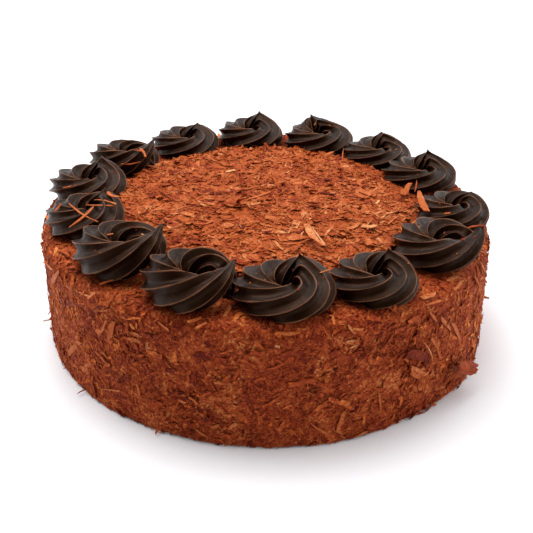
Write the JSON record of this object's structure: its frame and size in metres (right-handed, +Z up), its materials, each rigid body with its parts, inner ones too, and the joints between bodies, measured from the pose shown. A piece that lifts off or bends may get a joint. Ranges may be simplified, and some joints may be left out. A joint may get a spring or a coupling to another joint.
{
  "type": "chocolate mousse torte",
  "caption": "Whole round chocolate mousse torte, its side coated in chocolate shavings, topped with a heap of shavings inside a ring of piped ganache rosettes.",
  "frame": {"origin": "centre of the torte's flat base, on the surface that it stands on", "axes": "+Z up through the middle of the torte; -Y towards the side that the picture shows in front; +X to the right of the picture"},
  "size_m": [0.2542, 0.2551, 0.0887],
  "materials": {
    "shaving_coat": "matte reddish brown coat of chocolate shavings pressed into mousse",
    "loose_shavings": "matte rust brown heap of loose milk chocolate shavings",
    "ganache": "satin near-black piped dark chocolate ganache"
  },
  "bodies": {
    "root": {"torte": "shaving_coat", "flake_heap": "loose_shavings", "rosette_01": "ganache", "rosette_02": "ganache", "rosette_03": "ganache", "rosette_04": "ganache", "rosette_05": "ganache", "rosette_06": "ganache", "rosette_07": "ganache", "rosette_08": "ganache", "rosette_09": "ganache", "rosette_10": "ganache", "rosette_11": "ganache", "rosette_12": "ganache", "rosette_13": "ganache", "rosette_14": "ganache"}
  },
  "joints": []
}
